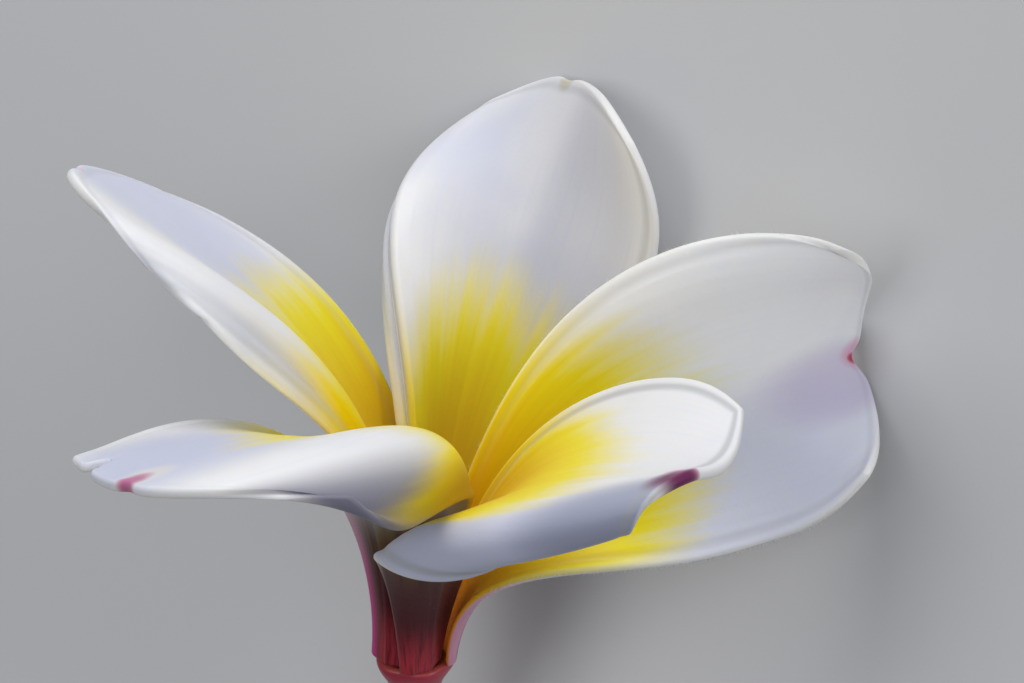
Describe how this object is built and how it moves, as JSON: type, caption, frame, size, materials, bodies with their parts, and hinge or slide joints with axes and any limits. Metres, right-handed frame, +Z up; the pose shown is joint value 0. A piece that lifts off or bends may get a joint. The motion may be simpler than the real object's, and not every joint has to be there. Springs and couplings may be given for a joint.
{
  "type": "plumeria flower",
  "caption": "Picked frangipani blossom lying on its back: broad waxy petals set like a pinwheel, their edges curled, on a slender tube with calyx and cut stalk.",
  "frame": {"origin": "bottom centre of the bounding box, on the surface the flower lies on", "axes": "+Z up from that surface; +Y runs from the cut stalk towards the open side of the flower; +X to the right seen from above with the stalk near"},
  "size_m": [0.0556, 0.0716, 0.0607],
  "materials": {
    "petal": "waxy white flesh with a satin sheen, yellow towards the throat",
    "tube": "smooth, pink to red-orange, satin",
    "green": "smooth green, slightly waxy",
    "stalk": "green, faintly ribbed, satin"
  },
  "bodies": {
    "root": {"petal_1": "petal", "petal_2": "petal", "petal_3": "petal", "petal_4": "petal", "petal_5": "petal", "corolla_tube": "tube", "calyx": "green", "pedicel": "stalk"}
  },
  "joints": []
}
